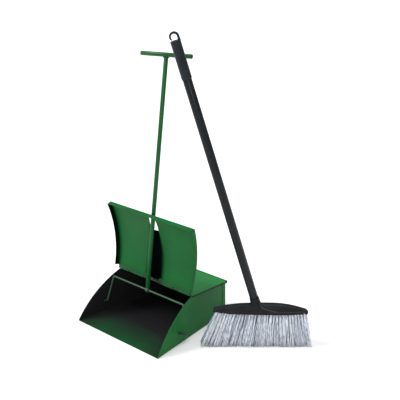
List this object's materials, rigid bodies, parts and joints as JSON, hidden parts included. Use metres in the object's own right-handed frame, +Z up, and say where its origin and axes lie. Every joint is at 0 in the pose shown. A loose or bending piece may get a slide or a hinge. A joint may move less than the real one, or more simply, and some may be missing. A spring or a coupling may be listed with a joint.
{
  "type": "lobby dust pan and broom set",
  "caption": "Upright dust pan with a curved hinged lid worked by its long T handle, and a long-handled broom with a hanging hook standing beside it.",
  "frame": {"origin": "middle of the dust pan's floor, on the ground", "axes": "+X across the pan to the broom's side, +Y from the pan's lip to its rear wall, +Z up"},
  "size_m": [0.5355, 0.3235, 0.7596],
  "materials": {
    "pan_enamel": "gloss",
    "lid_enamel": "gloss",
    "hinge_enamel": "satin",
    "wire_enamel": "satin",
    "rod_enamel": "gloss",
    "bare_steel": "satin",
    "head_plastic": "satin",
    "bristles": "matte",
    "stick_coating": "satin",
    "grip_plastic": "satin"
  },
  "bodies": {
    "pan": {"floor_sheet": "pan_enamel", "left_side_wall": "pan_enamel", "right_side_wall": "pan_enamel", "rear_wall": "pan_enamel", "top_plate": "pan_enamel", "rear_roll": "pan_enamel", "hinge_knuckles": "hinge_enamel", "hinge_pin": "bare_steel"},
    "lid": {"lid_panel": "lid_enamel", "lid_hood": "lid_enamel", "hinge_strip_left": "hinge_enamel", "hinge_strip_right": "hinge_enamel"},
    "bail": {"bail_wire": "wire_enamel"},
    "pan_handle": {"handle_rod": "rod_enamel", "handle_eye": "rod_enamel", "tee_grip": "rod_enamel", "tee_weld": "rod_enamel"},
    "broom": {"tuft_block": "head_plastic", "brush_cap": "head_plastic", "socket_neck": "head_plastic", "bristle_row_1": "bristles", "bristle_row_2": "bristles", "bristle_row_3": "bristles", "bristle_row_4": "bristles", "anchor_wires": "bare_steel", "broom_stick": "stick_coating", "stick_ferrule": "head_plastic", "grip_sleeve": "grip_plastic", "hanger_hook": "grip_plastic"}
  },
  "joints": [
    {"name": "bail_swing", "type": "hinge", "parent": "pan", "child": "bail", "pos_m": [0, -0.061, 0.032], "axis": [1, 0, 0], "range_deg": [0, 124]},
    {"name": "rod_eye", "type": "hinge", "parent": "bail", "child": "pan_handle", "pos_m": [0, -0.0345, 0.095], "axis": [1, 0, 0], "range_deg": [-52, 0]},
    {"name": "lid_swing", "type": "hinge", "parent": "pan", "child": "lid", "pos_m": [0, -0.011, 0.114], "axis": [1, 0, 0], "range_deg": [0, 128]},
    {"name": "broom_lift", "type": "slide", "parent": "pan", "child": "broom", "axis": [0, 0, 1], "range_m": [0, 0.3]}
  ],
  "couplings": [
    {"joint": "rod_eye", "follows": "bail_swing", "ratio": -0.41935},
    {"joint": "lid_swing", "follows": "bail_swing", "ratio": 1.0322}
  ]
}
